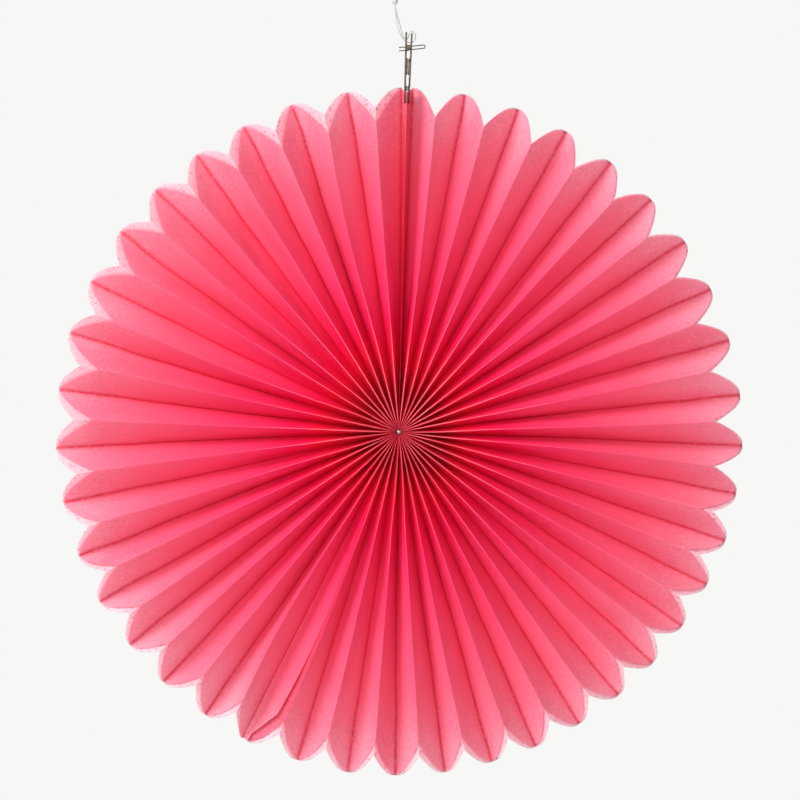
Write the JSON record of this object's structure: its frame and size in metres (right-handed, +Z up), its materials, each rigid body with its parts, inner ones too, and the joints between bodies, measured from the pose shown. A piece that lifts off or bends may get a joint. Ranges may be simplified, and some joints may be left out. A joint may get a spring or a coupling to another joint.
{
  "type": "paper fan rosette",
  "caption": "Hanging round fan rosette of pleated red tissue paper with a scalloped rim, a centre pin, and a steel spring clip on a clear line.",
  "frame": {"origin": "inside of the hanging loop's crown, where a hook carries it", "axes": "+Z up along the hanging direction, -Y out of the front of the disc, +X to the right seen from the front"},
  "size_m": [0.2997, 0.0203, 0.3571],
  "materials": {
    "tissue": "matt translucent crimson tissue, several plies",
    "pale_tissue": "single matt translucent tissue ply, paler",
    "pin_metal": "small bright domed head",
    "clip_steel": "brown-grey spring steel wire",
    "clear_line": "clear nylon"
  },
  "bodies": {
    "root": {"tissue_right_front": "tissue", "tissue_left_front": "tissue", "tissue_right_rear": "pale_tissue", "tissue_left_rear": "pale_tissue", "hub_pin": "pin_metal", "spring_clip": "clip_steel", "cross_wire": "clip_steel", "line_ferrule": "clear_line", "hanging_line": "clear_line", "hanging_loop": "clear_line"}
  },
  "joints": []
}
